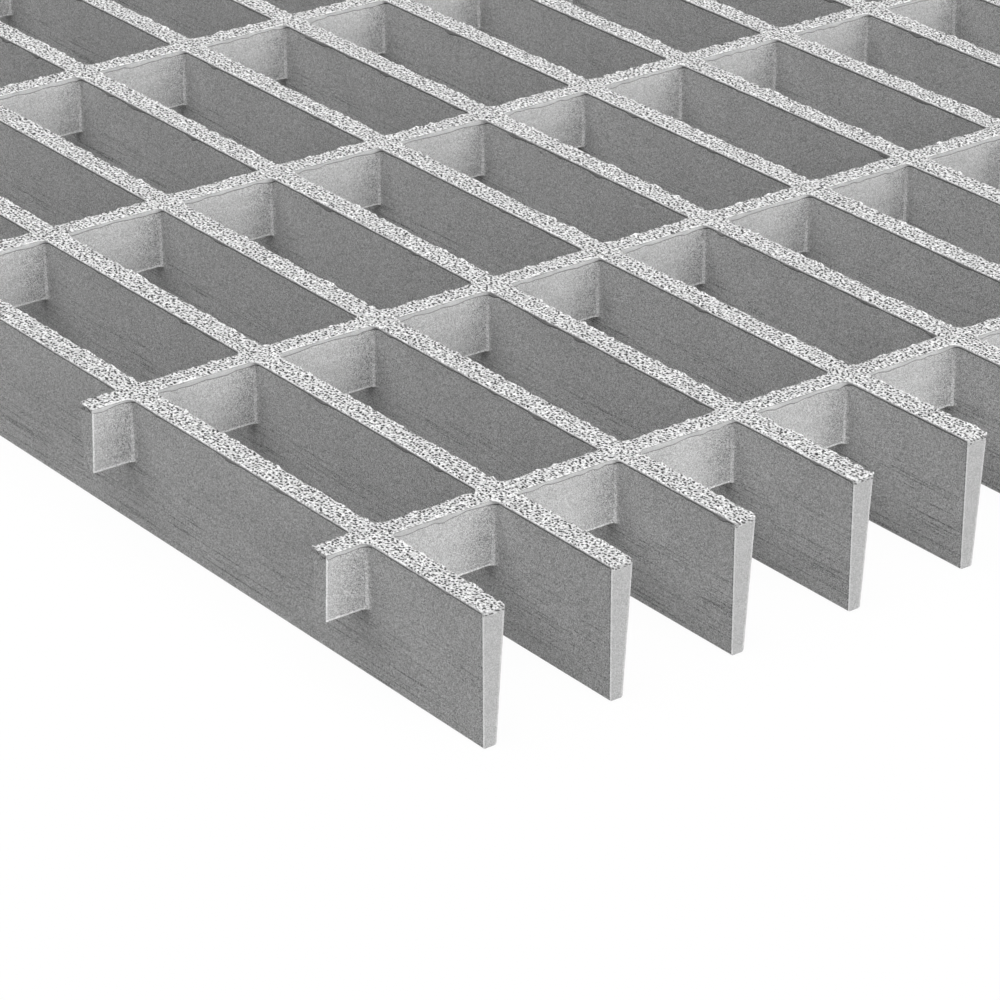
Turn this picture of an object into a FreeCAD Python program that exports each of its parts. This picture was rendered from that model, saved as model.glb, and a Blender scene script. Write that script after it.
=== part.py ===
import FreeCAD, Part
import math
import os

# Sizes in millimetres and degrees
LOAD_BARS = 16
CROSS_BARS = 6
LOAD_PITCH = 38.1
CROSS_PITCH = 101.6
DEPTH = 37.0
CROSS_DEPTH = 18.0
LOAD_TOP = 6.5
CROSS_TOP = 5.6
DRAFT = 2.0
CORNER_RADIUS = 1.2
CORNER_SIDES = 3
BOTTOM_CHAMFER = 0.4
LOAD_OVERHANG = 48.0
SAW_LEAN = 2.0
CROSS_OVERHANG = 15.0

# Sizes that follow from those above
LENGTH = (CROSS_BARS - 1) * CROSS_PITCH + 2 * LOAD_OVERHANG
WIDTH = (LOAD_BARS - 1) * LOAD_PITCH + 2 * CROSS_OVERHANG
CROSS_FLOOR = DEPTH - CROSS_DEPTH
CUT_PAST = 1.0


def vector(x, y, z):
    return FreeCAD.Vector(x, y, z)


def lean(z):
    """How far a moulded side has leaned in, from the top face down to height z."""
    return (DEPTH - z) * math.tan(math.radians(DRAFT))


def bar_places(count, pitch):
    """Centre lines of a row of bars set out evenly about zero."""
    return [(i - (count - 1) / 2) * pitch for i in range(count)]


def cell_places(count, pitch):
    """Centres of the gaps between the bars and of the open gap past each outer one."""
    return [(i - count / 2) * pitch for i in range(count + 1)]


def cell_outline(z):
    """Corners of the rounded rectangle that one mesh cell leaves open at height z."""
    radius = CORNER_RADIUS + lean(z)
    middle_x = (CROSS_PITCH - CROSS_TOP) / 2 - CORNER_RADIUS
    middle_y = (LOAD_PITCH - LOAD_TOP) / 2 - CORNER_RADIUS
    points = []
    for turn, (sx, sy) in enumerate([(1, 1), (-1, 1), (-1, -1), (1, -1)]):
        for step in range(CORNER_SIDES + 1):
            angle = (turn + step / CORNER_SIDES) * math.pi / 2
            x = sx * middle_x + radius * math.cos(angle)
            y = sy * middle_y + radius * math.sin(angle)
            points.append(vector(x, y, z))
    return points


def flat_face(points):
    """Flat face inside a closed run of points."""
    return Part.Face(Part.makePolygon(points + points[:1]))


def mould_core():
    """Block of the mould that keeps one cell open between the bars, wider at its foot."""
    foot = cell_outline(CROSS_FLOOR - CUT_PAST)
    head = cell_outline(DEPTH + CUT_PAST)
    faces = [flat_face(foot), flat_face(head)]
    for i in range(len(foot)):
        faces.append(flat_face([foot[i - 1], foot[i], head[i], head[i - 1]]))
    return Part.Solid(Part.Shell(faces))


def upper_mesh():
    """Layer that holds both sets of bars: a slab with a core taken out at every cell."""
    corner = vector(-LENGTH / 2, -WIDTH / 2, CROSS_FLOOR)
    slab = Part.makeBox(LENGTH, WIDTH, CROSS_DEPTH, corner)
    core = mould_core()
    cores = []
    for x in cell_places(CROSS_BARS, CROSS_PITCH):
        for y in cell_places(LOAD_BARS, LOAD_PITCH):
            cores.append(core.translated(vector(x, y, 0)))
    return slab.cut(cores)


def lower_bar(y):
    """Part of a load bar that hangs below the cross bars, its bottom edges broken."""
    half = LOAD_TOP / 2
    foot = half - lean(0) - BOTTOM_CHAMFER
    right = [(foot, 0)]
    right.append((half - lean(BOTTOM_CHAMFER), BOTTOM_CHAMFER))
    right.append((half - lean(CROSS_FLOOR), CROSS_FLOOR))
    section = right + [(-across, z) for across, z in reversed(right)]
    points = [vector(-LENGTH / 2, y + across, z) for across, z in section]
    return flat_face(points).extrude(vector(LENGTH, 0, 0))


def saw_waste(way):
    """Wedge that the saw takes off one end: the cut leans in from the top face down."""
    slope = math.tan(math.radians(SAW_LEAN))
    past, high, low = LENGTH / 2 + CUT_PAST, DEPTH + CUT_PAST, -CUT_PAST
    section = [(past, high), (LENGTH / 2 + CUT_PAST * slope, high)]
    section.append((LENGTH / 2 - (DEPTH + CUT_PAST) * slope, low))
    section.append((past, low))
    points = [vector(way * x, -WIDTH / 2 - CUT_PAST, z) for x, z in section]
    return flat_face(points).extrude(vector(0, WIDTH + 2 * CUT_PAST, 0))


def moulded_grating():
    """Whole panel as one piece, its load bars sawn off at both ends."""
    bars = [lower_bar(y) for y in bar_places(LOAD_BARS, LOAD_PITCH)]
    panel = upper_mesh().multiFuse(bars)
    panel = panel.cut([saw_waste(1), saw_waste(-1)]).removeSplitter()
    if len(panel.Solids) != 1:
        raise ValueError("the bars don't join into one piece")
    return panel.Solids[0]


os.makedirs("parts", exist_ok=True)
moulded_grating().exportStep("parts/moulded_grating.step")
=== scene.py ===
import math
from collections import namedtuple

import bpy
import numpy as np
from bpy.props import FloatProperty, FloatVectorProperty, IntProperty, PointerProperty
from mathutils import Matrix, Vector


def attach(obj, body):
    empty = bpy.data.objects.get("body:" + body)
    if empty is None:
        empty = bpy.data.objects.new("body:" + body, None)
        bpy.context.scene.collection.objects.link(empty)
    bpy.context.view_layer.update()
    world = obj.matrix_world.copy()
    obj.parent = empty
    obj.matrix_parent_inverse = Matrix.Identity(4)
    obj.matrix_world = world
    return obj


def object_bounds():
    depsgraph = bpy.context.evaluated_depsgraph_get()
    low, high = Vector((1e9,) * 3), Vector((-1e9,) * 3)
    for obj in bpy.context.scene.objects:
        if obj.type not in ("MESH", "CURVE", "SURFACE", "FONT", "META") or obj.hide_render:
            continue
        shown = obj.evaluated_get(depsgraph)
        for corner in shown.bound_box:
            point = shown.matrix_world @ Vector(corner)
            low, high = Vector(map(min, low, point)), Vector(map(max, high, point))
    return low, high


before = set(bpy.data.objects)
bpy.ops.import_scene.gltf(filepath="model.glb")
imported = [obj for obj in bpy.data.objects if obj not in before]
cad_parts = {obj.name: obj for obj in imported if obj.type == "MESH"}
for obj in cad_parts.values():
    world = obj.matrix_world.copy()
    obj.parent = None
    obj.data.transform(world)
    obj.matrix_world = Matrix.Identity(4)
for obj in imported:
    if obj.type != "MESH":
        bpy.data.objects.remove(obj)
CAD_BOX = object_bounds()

bl_info = {
    "name": "Moulded grating dresser",
    "version": (1, 0, 0),
    "blender": (4, 5, 0),
    "location": "3D View > Sidebar > Grating",
    "description": "Gives a moulded fibreglass grating its grit coat, its finish and a plain stage",
    "category": "Object",
}

NODE = "moulded_grating"
BODY = "root"
MM_PER_M = 1000.0

# Rows of a rolled edge, in this order: under the grains, crest, brow, lip, top of the roll,
# foot of the roll, start and end of the painted shadow line. First where each row lies, in metres
# ahead of the edge and below the top face, then how much of a lump's height moves it out and up.
ROW_AHEAD = (-0.00020, -0.00004, 0.00005, 0.00010, 0.00010, 0.00014, 0.00005, -0.00002)
ROW_DROP = (-0.00005, -0.00011, -0.00004, 0.00006, 0.00016, -0.00006, 0.0, 0.0)
ROW_LUMP_OUT = (0.0, 0.3, 0.5, 0.4, 0.0, 0.0, 0.0, 0.0)
ROW_LUMP_UP = (0.0, 1.0, 0.5, 0.0, 0.0, 0.0, 0.0, 0.0)
# 1 for rows that hang at the roll's foot, and for the row past the painted shadow line
ROW_AT_FOOT = (0, 0, 0, 0, 0, 1, 1, 1)
ROW_PAST_LINE = (0, 0, 0, 0, 0, 0, 0, 1)
# How bare of grains each row is, its painted highlight, its painted shadow line, and the painted
# shadow under the crest that the cross bars have besides
ROW_BARE = (0.2, 0.3, 0.5, 0.9, 1.0, 1.0, 1.0, 1.0)
ROW_RIM_HIGHLIGHT = (0.7, 1.0, 0.9, 0.3, 0.0, 0.0, 0.0, 0.0)
ROW_SHADOW_LINE = (0.0, 0.0, 0.0, 0.0, 0.0, 0.0, 1.0, 1.0)
ROW_CROSS_SHADOW = (0.0, 0.0, 0.0, 0.7, 0.0, 0.0, 0.0, 0.0)


def length(name, about, default):
    return FloatProperty(name=name, description=about, default=default, unit="LENGTH",
                         subtype="DISTANCE", precision=5)


def angle(name, about, degrees):
    return FloatProperty(name=name, description=about, default=math.radians(degrees),
                         subtype="ANGLE")


def level(name, about, default):
    return FloatProperty(name=name, description=about, default=default)


def colour(name, about, shade):
    return FloatVectorProperty(name=name, description=about, default=(shade, shade, shade),
                               subtype="COLOR", min=0.0, max=1.0)


class GratingSizes(bpy.types.PropertyGroup):
    """Sizes of the moulded panel that the coat and the finish follow."""

    load_bars: IntProperty(name="Load bars", description="Bars along X", default=16)
    cross_bars: IntProperty(name="Cross bars", description="Bars along Y", default=6)
    load_pitch: length("Load bar pitch", "Centre to centre of the load bars", 0.0381)
    cross_pitch: length("Cross bar pitch", "Centre to centre of the cross bars", 0.1016)
    load_top: length("Load bar width", "Width of a load bar at the top face", 0.0065)
    cross_top: length("Cross bar width", "Width of a cross bar at the top face", 0.0056)
    cross_depth: length("Cross bar depth", "Depth of a cross bar", 0.018)
    draft: angle("Draft", "Lean of the moulded sides", 2.0)
    saw_lean: angle("Saw lean", "Lean of the sawn ends", 2.0)


class CoatSizes(bpy.types.PropertyGroup):
    """Sizes of the grit and of the coat that bonds it."""

    spacing: length("Net spacing", "Spacing of the net that the grains are raised on", 0.00052)
    grain: length("Grain height", "How far the tallest grains stand above the coat", 0.00028)
    clump: length("Clump height", "How far the coat rises under a clump of grains", 0.00034)
    film: length("Film thickness", "Thickness of the coat between the grains", 0.0001)
    border: length("Clean border", "Width of the strip without grains inside an edge", 0.00003)
    crest: length("Crest", "How far the tallest lumps stand along an edge", 0.0009)
    # The crease is a painted shadow line below the coat's lower edge; this sets its width
    line: length("Crease width", "Width of the dark line where the coat stops", 0.00027)
    corner: length("Corner rounding", "Rounding of the coat where the bars cross", 0.002)
    tip: length("Tip rounding", "Rounding of the coat at the bars' end corners", 0.0004)
    load_roll: length("Roll on load bars", "How far the coat runs down a load bar", 0.00038)
    cross_roll: length("Roll on cross bars", "How far the coat runs down a cross bar", 0.00115)
    end_roll: length("Roll on sawn ends", "How far the coat runs down a load bar's end", 0.0010)
    stub_roll: length("Roll on stub ends", "How far the coat runs down a cross bar's end", 0.0013)
    step: length("Step", "Longest step along the coat's edge", 0.0013)
    small_clump: length("Small clumps", "Spacing of the smaller clumps", 0.0022)
    broad_clump: length("Broad clumps", "Spacing of the broader clumps", 0.0055)
    lump: length("Lumps", "Spacing of the lumps along an edge", 0.0017)
    slow: length("Slow swell", "Spacing of the roll's slow swells", 0.015)
    quick: length("Quick swell", "Spacing of the roll's quick swells and drips", 0.0045)
    wave: length("Waves", "Spacing of the waves in the cross bars' roll", 0.0024)
    speck: length("Specks", "Spacing of the smallest bumps in the roll", 0.0009)
    bands: IntProperty(name="Bands", description="Pieces that the coat is split into", default=6)
    seed: IntProperty(name="Seed", description="Start of the random draws", default=7)


class GratingColours(bpy.types.PropertyGroup):
    """Colours of the resin, the grit and the stage."""

    resin: colour("Resin", "Moulded sides of the bars", 0.48)
    sawn: colour("Sawn end", "Cut faces of the load bars", 0.43)
    grit: colour("Grit", "Grains on the top face", 0.90)
    # Painted shade in the gaps and pits between the grains
    grain_gap_shade: colour("Pit", "Gaps between the grains", 0.015)
    # Painted shadow line below the coat's lower edge
    shadow_line: colour("Crease", "Line where the coat stops", 0.05)
    floor: colour("Floor", "Floor under the panel", 0.16)


class FinishLevels(bpy.types.PropertyGroup):
    """How strongly each mark of the resin and the grit shows."""

    mottle: level("Mottle", "Fine mottle on the load bars", 0.60)
    cross_mottle: level("Cross bar mottle", "Fine mottle on the cross bars", 0.43)
    rough_mottle: level("Rough mottle", "More mottle at the rough end of a cell", 0.20)
    # Painted shade at the rough end of a cell, beside the next load bar
    painted_end_shade: level("Rough shade", "Darkening at the rough end of a cell", -0.13)
    streak: level("Streaks", "Darkening along a fibre", -0.42)
    pinhole: level("Pinholes", "Darkening in a pinhole", -0.55)
    # Painted highlight along edges that face X
    painted_edge_highlight: level("Pale edges", "Brightening along edges that face X", 0.55)
    end_edge: level("End edges", "Darkening beside the sawn ends", -0.30)
    corner: level("Corners", "Brightening at the foot of a cell's corner", 0.30)
    cut_mottle: level("Cut mottle", "Specks on the sawn ends", 0.60)
    cut_base: level("Cut base", "Darkest specks on the sawn ends", 0.70)
    # Painted highlight along the sawn ends' edges
    cut_edge: level("Cut edges", "Brightening along the sawn ends' edges", 0.30)
    bump: level("Bump", "Strength of the fine relief in the sides", 0.08)
    # Painted shade in the pits between the grains
    grain_gap_shade: level("Pits", "Darkening in the pits between the grains", 0.25)


class StageSettings(bpy.types.PropertyGroup):
    """Camera and light."""

    azimuth: angle("Camera azimuth", "Camera's bearing from X", -37.795)
    elevation: angle("Camera elevation", "Camera's height angle", 26.264)
    roll: angle("Camera roll", "Turn about the line of sight", 0.290)
    place: FloatVectorProperty(name="Camera place", description="Where the camera stands",
                               default=(0.99283, -0.81984, 0.49590), subtype="TRANSLATION")
    lens: level("Lens", "Focal length in millimetres", 154.22)
    sensor: level("Sensor", "Width of the sensor in millimetres", 36.0)
    sky: level("Sky level", "Even light from all round", 0.14)
    key: level("Key level", "Strength of the light in front of the sawn ends", 3.20)
    key_from: FloatVectorProperty(name="Key direction", description="Where the key light is",
                                  default=(0.98, 0.0, 0.19), subtype="DIRECTION")
    key_size: angle("Key size", "Angle that the key light fills", 42)
    top: level("Top level", "Strength of the light overhead", 2.85)
    top_from: FloatVectorProperty(name="Top direction", description="Where the top light is",
                                  default=(-0.05, -0.25, 0.95), subtype="DIRECTION")
    top_size: angle("Top size", "Angle that the top light fills", 85)
    floor_reach: length("Floor reach", "Half the width of the floor", 6.0)
    floor_gap: length("Floor gap", "How far the floor lies under the panel", 0.0002)
    floor_glow: level("Floor glow", "How bright the floor is where it is seen", 1.27)
    floor_share: level("Floor share", "Share of the glow where the floor is seen", 0.75)


def eased(t):
    """Share from 0 to 1 that starts and stops slowly: 3 t squared less 2 t cubed, clamped."""
    t = np.clip(t, 0.0, 1.0)
    return t * t * (3.0 - 2.0 * t)


def random_field(x, y, cell, seed):
    """Smooth random field from 0 to 1: random values on a square net, eased in between.

    The net comes round again after as many cells as the table is wide.
    """
    wide = 251
    table = np.random.default_rng(seed).random((wide, wide))
    across, along = x / cell, y / cell
    i, j = np.floor(across).astype(int), np.floor(along).astype(int)
    s, t = eased(across - i), eased(along - j)
    i, j, next_i, next_j = i % wide, j % wide, (i + 1) % wide, (j + 1) % wide
    low = table[i, j] * (1 - s) + table[next_i, j] * s
    high = table[i, next_j] * (1 - s) + table[next_i, next_j] * s
    return low * (1 - t) + high * t


def bar_places(count, pitch):
    """Centre lines of a row of bars set out evenly about zero."""
    return (np.arange(count) - (count - 1) / 2) * pitch


def triangle_net(size_x, size_y, spacing):
    """Net of equal triangles over a rectangle about the origin.

    Every second row is moved along by half a spacing, and rows lie 0.866 of a spacing
    apart. Returns x and y in rows and columns, and the triangles.
    """
    rise = spacing * math.sqrt(3) / 2
    columns = int(math.ceil(size_x / spacing)) + 2
    rows = int(math.ceil(size_y / rise)) + 2
    j, i = np.mgrid[0:rows, 0:columns]
    x = (i + (j % 2) / 2 - (columns - 0.5) / 2) * spacing
    y = (j - (rows - 1) / 2) * rise
    a = (j * columns + i)[:-1, :-1]
    b, c, d = a + 1, a + columns, a + columns + 1
    odd = (j % 2 == 1)[:-1, :-1]
    first = np.stack([a, b, np.where(odd, d, c)], -1)
    second = np.stack([np.where(odd, a, b), d, c], -1)
    return x, y, np.concatenate([first.reshape(-1, 3), second.reshape(-1, 3)])


def lowest_of_seven(draws):
    """Mask of the net points whose random draw is below those of all six neighbours."""
    odd = (np.arange(len(draws)) % 2 == 1)[:, None]
    others = [np.roll(draws, 1, 1), np.roll(draws, -1, 1)]
    for row in (np.roll(draws, 1, 0), np.roll(draws, -1, 0)):
        others += [row, np.where(odd, np.roll(row, -1, 1), np.roll(row, 1, 1))]
    return draws < np.minimum.reduce(others)


def distance_to_rim(x, y, sizes, coat):
    """How far each point lies outside the panel's top face, and which way is out.

    The top face is a rectangle with a round-cornered cell taken out at every mesh. Inside
    a cell the distance is the corner radius less the length of what is left of the point's
    offset past the corner centres. Past the panel's ends it is the overshoot, and the
    greatest of the three counts. It is negative on the bars.
    """
    k = np.round(x / sizes.cross_pitch + sizes.cross_bars / 2) - sizes.cross_bars / 2
    m = np.round(y / sizes.load_pitch + sizes.load_bars / 2) - sizes.load_bars / 2
    cell_x, cell_y = x - k * sizes.cross_pitch, y - m * sizes.load_pitch
    qx = np.abs(cell_x) - (sizes.cross_pitch - sizes.cross_top) / 2 + coat.corner
    qy = np.abs(cell_y) - (sizes.load_pitch - sizes.load_top) / 2 + coat.corner
    px, py = np.maximum(qx, 0), np.maximum(qy, 0)
    beyond = np.hypot(px, py)
    cell = coat.corner - beyond - np.minimum(np.maximum(qx, qy), 0)
    never_zero = np.maximum(beyond, 1e-9)
    on_x = np.where(beyond > 0, px / never_zero, (qx > qy))
    on_y = np.where(beyond > 0, py / never_zero, (qx <= qy))
    cell_out = np.stack([-np.sign(cell_x) * on_x, -np.sign(cell_y) * on_y], -1)
    none = np.zeros_like(x)
    end_out = np.stack([np.sign(x), none], -1)
    side_out = np.stack([none, np.sign(y)], -1)
    all_s = np.stack([cell, np.abs(x) - CAD_BOX[1][0], np.abs(y) - CAD_BOX[1][1]], -1)
    all_out = np.stack([cell_out, end_out, side_out], 1)
    nearest = all_s.argmax(-1)
    s = np.take_along_axis(all_s, nearest[:, None], 1)[:, 0]
    out = np.take_along_axis(all_out, nearest[:, None, None].repeat(2, 2), 1)[:, 0]
    return s, out


def grit_net(sizes, coat):
    """Grains on the top face, as a net of small triangles raised off it.

    Net points are moved about at random and kept where they lie inside the clean border;
    points just past it are pulled back onto it. Height is the film, plus a clump from two
    random fields multiplied, plus the grain's random height. Points with the lowest draw among
    their neighbours are pits: no grain, and painted shade in them.
    """
    jitter, reach_past, least_grain, least_pit = 0.6, 0.8, 0.30, 0.7
    full = [CAD_BOX[1][i] - CAD_BOX[0][i] for i in (0, 1)]
    x, y, triangles = triangle_net(full[0], full[1], coat.spacing)
    draws = np.random.default_rng(coat.seed).random((5, *x.shape))
    low = lowest_of_seven(draws[2]).ravel()
    move_x, move_y, tall, deep, shade = draws.reshape(5, -1)
    x = x.ravel() + (move_x - 0.5) * jitter * coat.spacing
    y = y.ravel() + (move_y - 0.5) * jitter * coat.spacing
    s, out = distance_to_rim(x, y, sizes, coat)
    past = s + coat.border
    inside = past < 0
    kept = past < reach_past * coat.spacing
    triangles = triangles[kept[triangles].all(1) & inside[triangles].any(1)]
    pitted = low & inside
    clump = random_field(x, y, coat.small_clump, coat.seed + 3)
    clump = clump * random_field(x, y, coat.broad_clump, coat.seed + 4)
    grain = np.where(pitted, 0.0, least_grain + (1 - least_grain) * tall)
    height = coat.film + inside * (coat.grain * grain + coat.clump * clump)
    back = np.maximum(past, 0)
    place = np.stack([x - out[:, 0] * back, y - out[:, 1] * back, CAD_BOX[1][2] + height], -1)
    # Painted shade in the pits
    grain_gap_shade = np.where(pitted, least_pit + (1 - least_pit) * deep, 0.0)
    none = np.zeros_like(x)
    marks = {"grain_gap_shade": grain_gap_shade, "bare": none, "rim_highlight": none, "shadow_line": none, "shade": shade}
    return place, triangles, marks


def rounded_loop(corners, left_radius, right_radius, step):
    """Closed line round a polygon with square corners, each rounded to a quarter circle.

    Corners that turn left have one radius and those that turn right another. Straight runs
    are set out in equal steps, 14 or more to a run. Returns the points and, at each, the
    unit vector to the line's right.
    """
    corner_points, fewest_steps = 4, 14
    into = corners - np.roll(corners, 1, 0)
    into = into / np.hypot(into[:, 0], into[:, 1])[:, None]
    onward = np.roll(into, -1, 0)
    left = into[:, 0] * onward[:, 1] - into[:, 1] * onward[:, 0] > 0
    radius = np.where(left, left_radius, right_radius)[:, None]
    starts, stops = corners - into * radius, corners + onward * radius
    turn = np.linspace(0, math.pi / 2, corner_points)[:, None]
    points, ways = [], []
    for i in range(len(corners)):
        middle = starts[i] + onward[i] * radius[i]
        points.append(middle + radius[i] * (into[i] * np.sin(turn) - onward[i] * np.cos(turn)))
        ways.append(into[i] * np.cos(turn) + onward[i] * np.sin(turn))
        run = np.roll(starts, -1, 0)[i] - stops[i]
        count = max(int(np.hypot(*run) / step), fewest_steps)
        part = np.linspace(0, 1, count + 1)[1:-1, None]
        points.append(stops[i] + run * part)
        ways.append(onward[i] + 0 * part)
    points, ways = np.concatenate(points), np.concatenate(ways)
    return points, np.stack([ways[:, 1], -ways[:, 0]], -1)


def edge_loops(sizes, coat):
    """Every edge of the top face: one line round each closed cell and one round the panel,
    with the bars always on the line's left."""
    xs = bar_places(sizes.cross_bars, sizes.cross_pitch)
    ys = bar_places(sizes.load_bars, sizes.load_pitch)
    a, b = sizes.load_top / 2, sizes.cross_top / 2
    half_l, half_w = CAD_BOX[1][0], CAD_BOX[1][1]
    face, edge = xs[-1] + b, ys[-1] + a
    bar_end = ((face, -a), (half_l, -a), (half_l, a), (face, a))
    stub = ((b, edge), (b, half_w), (-b, half_w), (-b, edge))
    front = [(px, y + py) for y in ys for px, py in bar_end]
    side = [(x + px, py) for x in xs[::-1] for px, py in stub]
    half = np.array(front + side[1:-1])
    loops = [rounded_loop(np.concatenate([half, -half]), coat.tip, coat.corner, coat.step)]
    cx, cy = sizes.cross_pitch / 2 - b, sizes.load_pitch / 2 - a
    cell = np.array([(-cx, -cy), (-cx, cy), (cx, cy), (cx, -cy)])
    points, out = rounded_loop(cell, coat.tip, coat.corner, coat.step)
    for x in (xs[1:] + xs[:-1]) / 2:
        for y in (ys[1:] + ys[:-1]) / 2:
            loops.append((points + (x, y), out))
    return loops


def roll_length(x, y, out, coat):
    """How far the coat runs down the side at each edge point, and which points lie at sawn
    ends and at stub ends.

    There is a length each for load bars, cross bars, sawn ends and stub ends, swelled and
    pinched by random fields. Where the quick field is high, a drip hangs from a load bar.
    """
    drip_from, drip = 0.72, 9
    crosswise = out[:, 0] ** 2
    at_end = (np.abs(x) > CAD_BOX[1][0] - coat.tip) & (crosswise > 0.3)
    at_stub = (np.abs(y) > CAD_BOX[1][1] - coat.tip) & (crosswise < 0.7)
    slow = random_field(x, y, coat.slow, coat.seed + 1)
    quick = random_field(x, y, coat.quick, coat.seed + 2)
    speck = random_field(x, y, coat.speck, coat.seed + 5)
    wave = random_field(x, y, coat.wave, coat.seed + 8)
    drips = drip * np.maximum(quick - drip_from, 0)
    load = coat.load_roll * (0.65 + 0.4 * quick + 0.4 * speck + drips)
    cross = coat.cross_roll * (0.20 + 0.35 * slow + 0.45 * quick + 0.65 * wave)
    reach = load * (1 - crosswise) + cross * crosswise
    reach = np.where(at_end, coat.end_roll * (0.5 + speck), reach)
    reach = np.where(at_stub, coat.stub_roll * (0.5 + 0.9 * speck), reach)
    return reach, at_end, at_stub


def column(row_values):
    """Values of the rolled edge's rows, stood up so that they spread along the edge."""
    return np.array(row_values)[:, None]


def rolled_edge(points, out, sizes, coat):
    """Coat rolled over one edge of the top face.

    Eight rows run along the edge: from under the grains up to a crest that random lumps make
    uneven, over the lip, down the side for the roll's length, and then a thin painted shadow line
    on the bar, which leans away. A lump is half a random field squared and half a random draw
    squared. Grains lie on the crest, and at the sawn ends and the stub ends on the side too. The
    rows up to the lip carry a painted highlight. On the cross bars painted light makes the roll
    paler, with one more painted shadow line at its top and a fainter one at its foot.
    """
    end_bare, cross_painted_light, less_rim_highlight, less_shadow_line = 0.15, 0.5, 0.75, 0.25
    x, y = points[:, 0], points[:, 1]
    crosswise = out[:, 0] ** 2
    reach, at_end, at_stub = roll_length(x, y, out, coat)
    wall = -np.tan(np.where(at_end, sizes.saw_lean, sizes.draft)) * reach
    draws = np.random.default_rng(coat.seed + len(x)).random(len(x))
    swell = random_field(x, y, coat.lump, coat.seed + 6)
    lump = coat.crest * (0.5 * swell ** 2 + 0.5 * draws ** 2)
    ahead = column(ROW_AHEAD) + column(ROW_LUMP_OUT) * lump + column(ROW_AT_FOOT) * wall
    drop = column(ROW_DROP) - column(ROW_LUMP_UP) * lump + column(ROW_AT_FOOT) * reach
    drop = drop + column(ROW_PAST_LINE) * coat.line
    place = np.stack([x + out[:, 0] * ahead, y + out[:, 1] * ahead, CAD_BOX[1][2] - drop], -1)
    index = np.arange(drop.size).reshape(drop.shape)
    a, b = index[:-1], index[1:]
    c, d = np.roll(b, -1, 1), np.roll(a, -1, 1)
    triangles = np.concatenate([np.stack([a, b, c], -1).reshape(-1, 3),
                                np.stack([a, c, d], -1).reshape(-1, 3)])
    # Painted highlight along the coat's edge; on the cross bars, painted light that makes the whole
    # roll paler
    rim_highlight = np.maximum(column(ROW_RIM_HIGHLIGHT) * (1 - less_rim_highlight * crosswise), cross_painted_light * crosswise)
    # Painted shadow line where the coat stops, fainter on the cross bars, and painted shadow under
    # the crest there as well
    shadow_line = column(ROW_SHADOW_LINE) * (1 - less_shadow_line * crosswise)
    shadow_line = shadow_line + column(ROW_CROSS_SHADOW) * crosswise
    none = np.zeros_like(drop)
    marks = {
        "grain_gap_shade": none,
        "bare": np.where(at_end | at_stub, end_bare, column(ROW_BARE)),
        "rim_highlight": rim_highlight,
        "shadow_line": np.where(at_end, 0.0, shadow_line),
        "shade": draws + none,
    }
    return place.reshape(-1, 3), triangles, {key: value.ravel() for key, value in marks.items()}


def whole_coat(sizes, coat):
    """Grit and all its rolled edges in one set of arrays."""
    pieces = [grit_net(sizes, coat)]
    pieces += [rolled_edge(*loop, sizes, coat) for loop in edge_loops(sizes, coat)]
    first = np.cumsum([0] + [len(piece[0]) for piece in pieces])
    place = np.concatenate([piece[0] for piece in pieces])
    triangles = np.concatenate([piece[1] + start for piece, start in zip(pieces, first)])
    marks = {key: np.concatenate([piece[2][key] for piece in pieces]) for key in pieces[0][2]}
    return place, triangles, marks


def mesh_piece(name, place, triangles, marks):
    """New mesh object from whole arrays of points, triangles and point marks."""
    used, triangles = np.unique(triangles, return_inverse=True)
    triangles = triangles.reshape(-1, 3)
    mesh = bpy.data.meshes.new(name)
    mesh.vertices.add(used.size)
    mesh.vertices.foreach_set("co", place[used].astype(np.float32).ravel())
    mesh.loops.add(triangles.size)
    mesh.loops.foreach_set("vertex_index", triangles.astype(np.int32).ravel())
    mesh.polygons.add(len(triangles))
    mesh.polygons.foreach_set("loop_start", np.arange(0, triangles.size, 3, dtype=np.int32))
    for mark, values in marks.items():
        layer = mesh.attributes.new(mark, "FLOAT", "POINT")
        layer.data.foreach_set("value", values[used].astype(np.float32))
    mesh.update(calc_edges=True)
    mesh.validate()
    piece = bpy.data.objects.new(name, mesh)
    bpy.context.scene.collection.objects.link(piece)
    return piece


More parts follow.
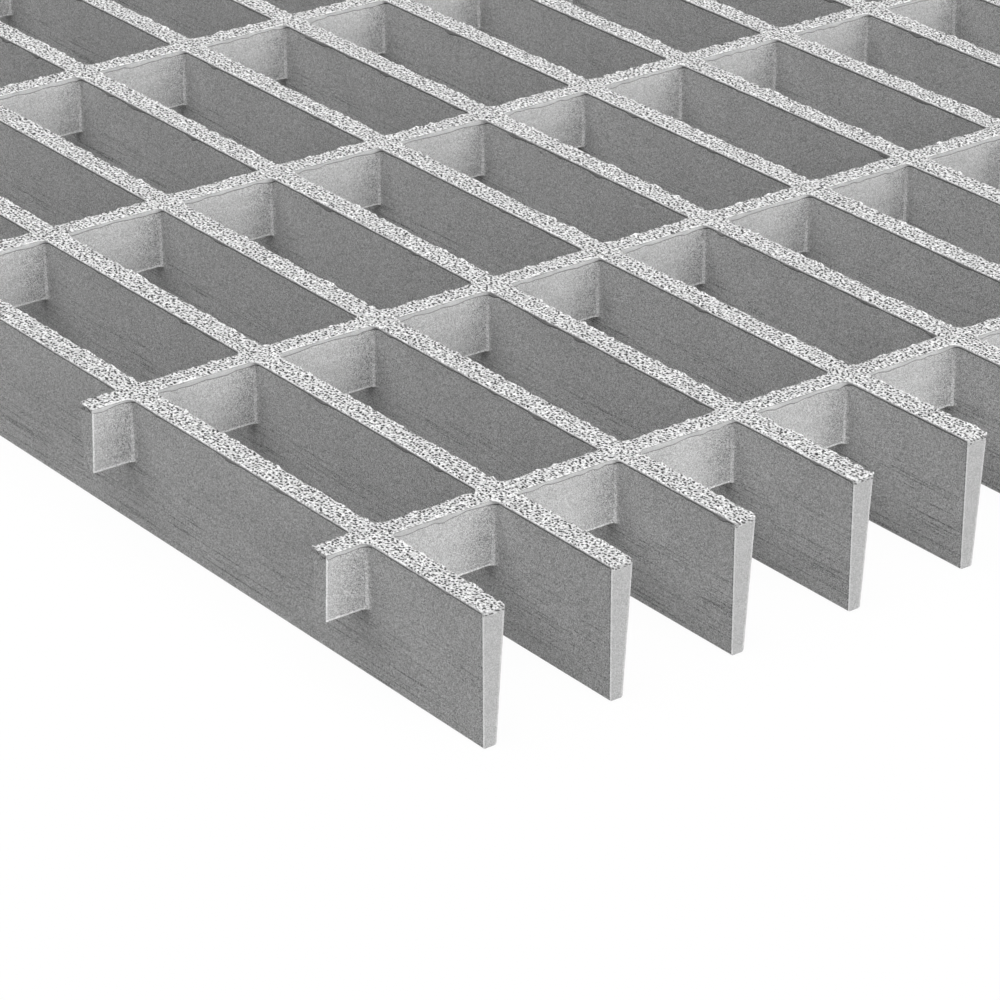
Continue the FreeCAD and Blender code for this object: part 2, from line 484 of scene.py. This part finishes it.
class Shading:
    """Short way to write a material's nodes."""

    def __init__(self, name):
        self.material = bpy.data.materials.new(name)
        self.material.use_nodes = True
        self.tree = self.material.node_tree
        self.tree.nodes.clear()

    def add(self, kind, settings=None, **inputs):
        """New node. Inputs are given by name, or by number with an i before it."""
        node = self.tree.nodes.new("ShaderNode" + kind)
        for key, value in (settings or {}).items():
            setattr(node, key, value)
        for key, value in inputs.items():
            numbered = key[0] == "i" and key[1:].isdigit()
            self.put(node.inputs[int(key[1:]) if numbered else key], value)
        return node

    def put(self, socket, value):
        if isinstance(value, bpy.types.NodeSocket):
            self.tree.links.new(value, socket)
        else:
            socket.default_value = value

    def math(self, operation, a, b=0.0, c=0.0):
        return self.add("Math", {"operation": operation}, i0=a, i1=b, i2=c).outputs[0]

    def times(self, a, b):
        return self.math("MULTIPLY", a, b)

    def added(self, share, strength, base):
        """Share times strength, plus the base."""
        return self.math("MULTIPLY_ADD", share, strength, base)

    def absolute(self, a):
        return self.math("ABSOLUTE", a)

    def ramp(self, value, low, high, to_low=0.0, to_high=1.0):
        settings = {"interpolation_type": "SMOOTHSTEP"}
        node = self.add("MapRange", settings, i0=value, i1=low, i2=high, i3=to_low, i4=to_high)
        return node.outputs[0]

    def noise(self, vector, scale, detail=2.0, rough=0.5):
        inputs = {"Vector": vector, "Scale": scale, "Detail": detail, "Roughness": rough}
        return self.add("TexNoise", None, **inputs).outputs["Fac"]

    def cells(self, vector, scale):
        """Distance to the middle of each random cell, and a random value for each cell."""
        node = self.add("TexVoronoi", {"feature": "F1"}, Vector=vector, Scale=scale)
        draw = self.add("SeparateColor", None, Color=node.outputs["Color"]).outputs[0]
        return node.outputs["Distance"], draw

    def scaled(self, vector, scale):
        return self.add("Mapping", None, Vector=vector, Scale=scale).outputs[0]

    def millimetres(self):
        """Place on the piece in millimetres."""
        return self.scaled(self.add("TexCoord").outputs["Object"], (MM_PER_M, MM_PER_M, MM_PER_M))

    def parts(self, vector):
        return self.add("SeparateXYZ", None, Vector=vector).outputs

    def mix(self, share, a, b, blend="MIX"):
        node = self.add("Mix", {"data_type": "RGBA", "blend_type": blend}, i0=share)
        self.put(node.inputs[6], a)
        self.put(node.inputs[7], b)
        return node.outputs[2]

    def tinted(self, tint, strength):
        return self.mix(1.0, tint, strength, "MULTIPLY")

    def finish(self, shader):
        output = self.add("OutputMaterial")
        self.tree.links.new(shader.outputs[0], output.inputs["Surface"])
        return self.material


def rgba(value):
    return (*value, 1.0)


WHITE = rgba((1.0, 1.0, 1.0))
# Fine mottle and larger patterns of the resin, in cells to a millimetre
MOTTLE_SCALE = 5.0
MEDIUM_SCALE = 1.0
BROAD_SCALE = 0.07
PINHOLE_SCALE = 0.06
FIBRE_SCALE = (0.035, 0.6, 2.6)
PATCH_SCALE = (0.025, 0.3, 0.08)
# How much of a face's normal lies along an axis, from not facing it to facing it, and along X
# where a corner starts and where it ends
FACING = (0.85, 0.95)
CORNER_START = (0.45, 0.65)
CORNER_STOP = (0.90, 0.80)
# Millimetres past a face, from unmarked to marked: painted highlight along edges, the edge beside a
# sawn end, the sawn end itself and the rough end of a cell, which also has painted shade. Then
# millimetres above the cross bars' foot, for the painted highlight along it
EDGE_HIGHLIGHT = (-0.60, -0.30)
END_EDGE = (-0.60, -0.25)
SAW_CUT = (-0.08, -0.03)
ROUGH_SHADED_END = (-16.0, -4.0)
FOOT_HIGHLIGHT = (0.65, 0.35)
# Shares of the panel's depth between which the streaks come in, and how many show above that
STREAKS = (0.78, 0.42)
FEWEST_STREAKS = 0.1
# Values of the patterns between which a fibre, a patch of fibres and a pinhole come in, and
# which of the pinholes are kept
FIBRE = (0.55, 0.64)
PATCH = (0.24, 0.44)
PINHOLE = (0.03, 0.016)
PINHOLE_KEPT = (0.55, 0.6)
# Middle span of a noise, and the tones that the medium and the broad one add over it
NOISE_SPAN = (0.3, 0.7)
MEDIUM_TONES = (-0.01, 0.01)
BROAD_TONES = (0.97, 1.03)

# The edge mask is painted highlight along edges; the rough mask also carries painted shade beside
# the next load bar
Masks = namedtuple("Masks", "on_cross on_load low sawn cut_edge pale end_edge corner rough")


def panel_masks(m, mm, sizes):
    """Where on the panel each mark of the resin belongs, as shares from 0 to 1.

    A face's normal tells a load bar's side from a cross bar's and from a rounded corner. The
    distance to the leaning saw cut, to the panel's side, to the cross bars' foot and to the
    leaning side of the nearest load bar give the sawn ends, the edges that get a painted highlight
    and the darker edge beside a sawn end. The rough end of a cell is the last stretch of a cross
    bar's side toward positive Y, beside the next load bar, and it also gets painted shade.
    """
    x, y, z = m.parts(mm)
    normal = m.parts(m.add("NewGeometry").outputs["True Normal"])
    turned = m.absolute(normal[0])
    on_cross = m.ramp(turned, *FACING)
    on_load = m.ramp(m.absolute(normal[1]), *FACING)
    corner = m.times(m.ramp(turned, *CORNER_START), m.ramp(turned, *CORNER_STOP))

    end, side, deep = [MM_PER_M * place for place in CAD_BOX[1]]
    slope = math.tan(sizes.saw_lean)
    cut_x = m.added(z, slope, end - deep * slope)
    past_x = m.math("SUBTRACT", m.absolute(x), cut_x)
    past_y = m.math("SUBTRACT", m.absolute(y), side)
    sawn = m.ramp(past_x, *SAW_CUT)
    end_edge = m.times(on_load, m.ramp(past_x, *END_EDGE))
    # Painted highlight along the stub ends' edges
    stub_edge_highlight = m.times(on_cross, m.ramp(past_y, *EDGE_HIGHLIGHT))

    pitch = MM_PER_M * sizes.load_pitch
    from_bar = m.math("SUBTRACT", m.math("FRACT", m.math("DIVIDE", y, pitch)), 0.5)
    from_bar = m.times(from_bar, pitch)
    lean = math.tan(sizes.draft)
    half = m.added(z, lean, MM_PER_M * sizes.load_top / 2 - deep * lean)
    past_side = m.math("SUBTRACT", m.absolute(from_bar), half)
    # Painted highlight along the sawn ends' edges
    cut_edge = m.times(sawn, m.ramp(past_side, *EDGE_HIGHLIGHT))
    # Rough end of a cell, beside the next load bar, which also gets painted shade
    rough = m.times(on_cross, m.ramp(from_bar, *ROUGH_SHADED_END))
    rough = m.times(rough, m.math("LESS_THAN", from_bar, 0.0))

    foot_z = deep - MM_PER_M * sizes.cross_depth
    # Painted highlight along the cross bars' foot
    foot = m.ramp(m.math("SUBTRACT", z, foot_z), *FOOT_HIGHLIGHT)
    foot = m.times(foot, m.math("SUBTRACT", on_cross, sawn))
    pale = m.math("MAXIMUM", cut_edge, m.math("MAXIMUM", foot, stub_edge_highlight))
    corner = m.times(corner, m.ramp(z, deep, foot_z))
    low = m.ramp(m.math("DIVIDE", z, deep), *STREAKS, FEWEST_STREAKS, 1.0)
    return Masks(on_cross, on_load, low, sawn, cut_edge, pale, end_edge, corner, rough)


def resin_finish(colours, levels, sizes):
    """Moulded resin: fine mottle, fibre streaks in patches low on the load bars' sides, a few
    pinholes, a painted highlight along edges toward X, and edges darker toward Y.

    A cross bar's side is rougher toward one end and has painted shade there, beside the next load
    bar, and a cell's corners are palest at their foot. The load bars' sawn ends are plainer and
    specked.
    """
    streak_depth, bump_height = 0.3, 0.0001
    m = Shading("moulded_resin")
    mm = m.millimetres()
    masks = panel_masks(m, mm, sizes)

    fine = m.cells(mm, MOTTLE_SCALE)[1]
    medium = m.noise(mm, MEDIUM_SCALE, 2.0, 0.6)
    broad = m.noise(mm, BROAD_SCALE)
    fibre = m.noise(m.scaled(mm, FIBRE_SCALE), 1.0, 2.0, 0.6)
    patch = m.noise(m.scaled(mm, PATCH_SCALE), 1.0, 1.0)
    streak = m.times(m.ramp(fibre, *FIBRE), m.times(masks.on_load, masks.low))
    streak = m.times(streak, m.ramp(patch, *PATCH))
    away, draw = m.cells(mm, PINHOLE_SCALE)
    hole = m.times(m.ramp(away, *PINHOLE), m.ramp(draw, *PINHOLE_KEPT))

    mottle = m.added(masks.on_cross, levels.cross_mottle - levels.mottle, levels.mottle)
    mottle = m.added(masks.rough, levels.rough_mottle, mottle)
    tone = m.times(m.added(fine, 2.0, -1.0), mottle)
    tone = m.math("ADD", tone, m.ramp(medium, *NOISE_SPAN, *MEDIUM_TONES))
    tone = m.math("ADD", tone, m.ramp(broad, *NOISE_SPAN, *BROAD_TONES))
    tone = m.added(streak, levels.streak, tone)
    tone = m.added(hole, levels.pinhole, tone)
    # Painted highlight along edges facing X
    tone = m.added(masks.pale, levels.painted_edge_highlight, tone)
    tone = m.added(masks.end_edge, levels.end_edge, tone)
    tone = m.added(masks.corner, levels.corner, tone)
    # Painted shade at the rough end of a cell, beside the next load bar
    tone = m.added(masks.rough, levels.painted_end_shade, tone)
    cut_tone = m.added(fine, levels.cut_mottle, levels.cut_base)
    # Painted highlight along the sawn ends' edges
    cut_tone = m.added(masks.cut_edge, levels.cut_edge, cut_tone)

    resin = m.tinted(rgba(colours.resin), tone)
    cut = m.tinted(rgba(colours.sawn), cut_tone)
    relief = m.math("SUBTRACT", medium, m.times(streak, streak_depth))
    relief = m.math("SUBTRACT", relief, hole)
    bump = m.add("Bump", None, Strength=levels.bump, Distance=bump_height, Height=relief)
    shader = m.add("BsdfPrincipled", None, Roughness=0.6, Normal=bump.outputs[0])
    m.put(shader.inputs["Base Color"], m.mix(masks.sawn, resin, cut))
    return m.finish(shader)


def grit_finish(colours, levels):
    """Pale mineral grains, each its own shade, with painted shade in the gaps between them and in
    the pits.

    The painted gaps lie about the middles of random cells on a flat pattern, which is slid along
    with height so that it carries on down the sides. Where the coat is bare it has a painted
    highlight at its edge, is like the resin below that, and has a painted shadow line where it
    stops.
    """
    gap_scale, gap_spread, speck_scale = 0.95, 0.9, 2.2
    gap_edge, pit_edge, speck_edge = (0.35, 0.25), (0.15, 0.60), (0.36, 0.54)
    speck_shades, grain_shades = (0.60, 1.0), (0.68, 1.04)
    skin_mottle, skin_base = 0.7, 0.62
    m = Shading("bonded_grit")
    mm = m.millimetres()
    marks = ("grain_gap_shade", "bare", "rim_highlight", "shadow_line", "shade")
    grain_gap_shade, bare, rim_highlight, shadow_line, shade = [m.add("Attribute", {"attribute_name": mark}).outputs["Fac"]
                                     for mark in marks]
    speck = m.ramp(m.noise(mm, speck_scale, 1.0), *speck_edge, *speck_shades)
    shade = m.ramp(shade, 0.0, 1.0, *grain_shades)
    grains = m.tinted(rgba(colours.grit), m.times(speck, shade))
    x, y, z = m.parts(mm)
    slid = m.add("CombineXYZ", None, X=m.math("ADD", x, z), Y=m.math("ADD", y, z)).outputs[0]
    flat_cells = {"voronoi_dimensions": "2D", "feature": "F1"}
    # The gaps are painted shade between the grains, drawn as dark dots
    gaps = m.add("TexVoronoi", flat_cells, Vector=slid, Scale=gap_scale, Randomness=gap_spread)
    grains = m.mix(m.ramp(gaps.outputs["Distance"], *gap_edge), grains, rgba(colours.grain_gap_shade))
    fine = m.cells(mm, MOTTLE_SCALE)[1]
    skin = m.tinted(rgba(colours.resin), m.added(fine, skin_mottle, skin_base))
    # Painted highlight at the bare coat's edge
    skin = m.mix(rim_highlight, skin, rgba(colours.grit))
    tint = m.mix(bare, grains, skin)
    # Painted shade in the pits
    tint = m.mix(m.ramp(grain_gap_shade, *pit_edge, 0.0, levels.grain_gap_shade), tint, rgba(colours.grain_gap_shade))
    # Painted shadow line where the coat stops
    tint = m.mix(shadow_line, tint, rgba(colours.shadow_line))
    shader = m.add("BsdfPrincipled", None, Roughness=0.7)
    m.put(shader.inputs["Base Color"], tint)
    return m.finish(shader)


def floor_finish(colours, stage):
    """Pale floor: seen straight it is mostly white, and it keeps a soft shadow."""
    m = Shading("pale_floor")
    rays = m.add("LightPath")
    seen = m.math("MAXIMUM", rays.outputs["Is Camera Ray"], rays.outputs["Is Glossy Ray"])
    seen = m.math("MAXIMUM", seen, rays.outputs["Is Transmission Ray"])
    plain = m.add("BsdfDiffuse", None, Color=rgba(colours.floor))
    white = m.add("Emission", None, Color=WHITE, Strength=stage.floor_glow)
    mixed = m.add("MixShader", None, i0=m.times(seen, stage.floor_share))
    m.tree.links.new(plain.outputs[0], mixed.inputs[1])
    m.tree.links.new(white.outputs[0], mixed.inputs[2])
    return m.finish(mixed)


class GRATING_OT_resin(bpy.types.Operator):
    """Gives the moulded panel its resin finish"""

    bl_idname = "grating.resin"
    bl_label = "Finish the moulded panel"

    def execute(self, context):
        scene = context.scene
        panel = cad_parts[NODE]
        panel.data.materials.clear()
        finish = resin_finish(scene.grating_colours, scene.finish_levels, scene.grating_sizes)
        panel.data.materials.append(finish)
        return {"FINISHED"}


class GRATING_OT_grit(bpy.types.Operator):
    """Lays the bonded grit over the panel's top face, in bands"""

    bl_idname = "grating.grit"
    bl_label = "Lay the grit coat"

    def execute(self, context):
        scene = context.scene
        coat = scene.coat_sizes
        place, triangles, marks = whole_coat(scene.grating_sizes, coat)
        finish = grit_finish(scene.grating_colours, scene.finish_levels)
        span = CAD_BOX[1][1] - CAD_BOX[0][1]
        middle = place[triangles[:, 0], 1] - CAD_BOX[0][1]
        band = np.clip((middle / span * coat.bands).astype(int), 0, coat.bands - 1)
        for number in range(coat.bands):
            name = f"bonded_grit_{number + 1}"
            piece = mesh_piece(name, place, triangles[band == number], marks)
            piece.data.materials.append(finish)
            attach(piece, BODY)
        return {"FINISHED"}


class GRATING_OT_stage(bpy.types.Operator):
    """Sets the floor, the light and the camera"""

    bl_idname = "grating.stage"
    bl_label = "Set the stage"

    def execute(self, context):
        stage = context.scene.grating_stage
        add_floor(context.scene, stage)
        add_light(context.scene, stage)
        add_camera(context.scene, stage)
        return {"FINISHED"}


def add_floor(scene, stage):
    """Flat square floor, a hair under the panel."""
    ends = [-stage.floor_reach, stage.floor_reach]
    across, along = np.meshgrid(ends, ends)
    points = np.stack([across.ravel(), along.ravel(), np.full(4, -stage.floor_gap)], -1)
    mesh = bpy.data.meshes.new("floor")
    mesh.from_pydata(points.tolist(), [], [(0, 1, 3, 2)])
    floor = bpy.data.objects.new("floor", mesh)
    scene.collection.objects.link(floor)
    mesh.materials.append(floor_finish(scene.grating_colours, stage))


def add_sun(scene, name, energy, direction, softness):
    """Soft light from far off in one direction."""
    lamp = bpy.data.lights.new(name, "SUN")
    lamp.energy = energy
    lamp.angle = softness
    sun = bpy.data.objects.new(name, lamp)
    sun.rotation_mode = "QUATERNION"
    sun.rotation_quaternion = Vector(direction).to_track_quat("Z", "Y")
    scene.collection.objects.link(sun)


def add_light(scene, stage):
    """Even sky, white where it is seen, a key light before the sawn ends and one overhead."""
    world = bpy.data.worlds.new("studio")
    world.use_nodes = True
    scene.world = world
    tree = world.node_tree
    back = tree.nodes["Background"]
    rays = tree.nodes.new("ShaderNodeLightPath")
    strength = tree.nodes.new("ShaderNodeMapRange")
    strength.inputs["To Min"].default_value = stage.sky
    strength.inputs["To Max"].default_value = 1.0
    tree.links.new(rays.outputs["Is Camera Ray"], strength.inputs["Value"])
    tree.links.new(strength.outputs[0], back.inputs["Strength"])
    back.inputs["Color"].default_value = WHITE
    add_sun(scene, "key", stage.key, stage.key_from, stage.key_size)
    add_sun(scene, "top", stage.top, stage.top_from, stage.top_size)
    scene.view_settings.view_transform = "Standard"


def add_camera(scene, stage):
    """Camera at the photograph's place, turned to its bearing and height angle and rolled."""
    a, e = stage.azimuth, stage.elevation
    back = Vector((math.cos(a) * math.cos(e), math.sin(a) * math.cos(e), math.sin(e)))
    right = Vector((-math.sin(a), math.cos(a), 0.0))
    up = back.cross(right)
    c, s = math.cos(stage.roll), math.sin(stage.roll)
    right, up = c * right + s * up, c * up - s * right
    turned = Matrix((right, up, back)).transposed().to_4x4()
    lens = bpy.data.cameras.new("camera")
    lens.lens = stage.lens
    lens.sensor_width = stage.sensor
    lens.clip_start, lens.clip_end = 0.01, 50.0
    camera = bpy.data.objects.new("camera", lens)
    camera.matrix_world = Matrix.Translation(Vector(stage.place)) @ turned
    scene.collection.objects.link(camera)
    scene.camera = camera


class GRATING_PT_panel(bpy.types.Panel):
    """Lists the steps that dress the grating"""

    bl_idname = "GRATING_PT_panel"
    bl_label = "Grating"
    bl_space_type = "VIEW_3D"
    bl_region_type = "UI"
    bl_category = "Grating"

    def draw(self, context):
        for step in STEPS:
            self.layout.operator(step.bl_idname)


GROUPS = {
    "grating_sizes": GratingSizes,
    "coat_sizes": CoatSizes,
    "grating_colours": GratingColours,
    "finish_levels": FinishLevels,
    "grating_stage": StageSettings,
}
STEPS = (GRATING_OT_resin, GRATING_OT_grit, GRATING_OT_stage)


def register():
    for group in GROUPS.values():
        bpy.utils.register_class(group)
    for name, group in GROUPS.items():
        setattr(bpy.types.Scene, name, PointerProperty(type=group))
    for step in (*STEPS, GRATING_PT_panel):
        bpy.utils.register_class(step)


def unregister():
    for step in (GRATING_PT_panel, *reversed(STEPS)):
        bpy.utils.unregister_class(step)
    for name in GROUPS:
        delattr(bpy.types.Scene, name)
    for group in reversed(list(GROUPS.values())):
        bpy.utils.unregister_class(group)


def main():
    register()
    bpy.ops.grating.resin()
    bpy.ops.grating.grit()
    bpy.ops.grating.stage()


if __name__ == "__main__":
    main()
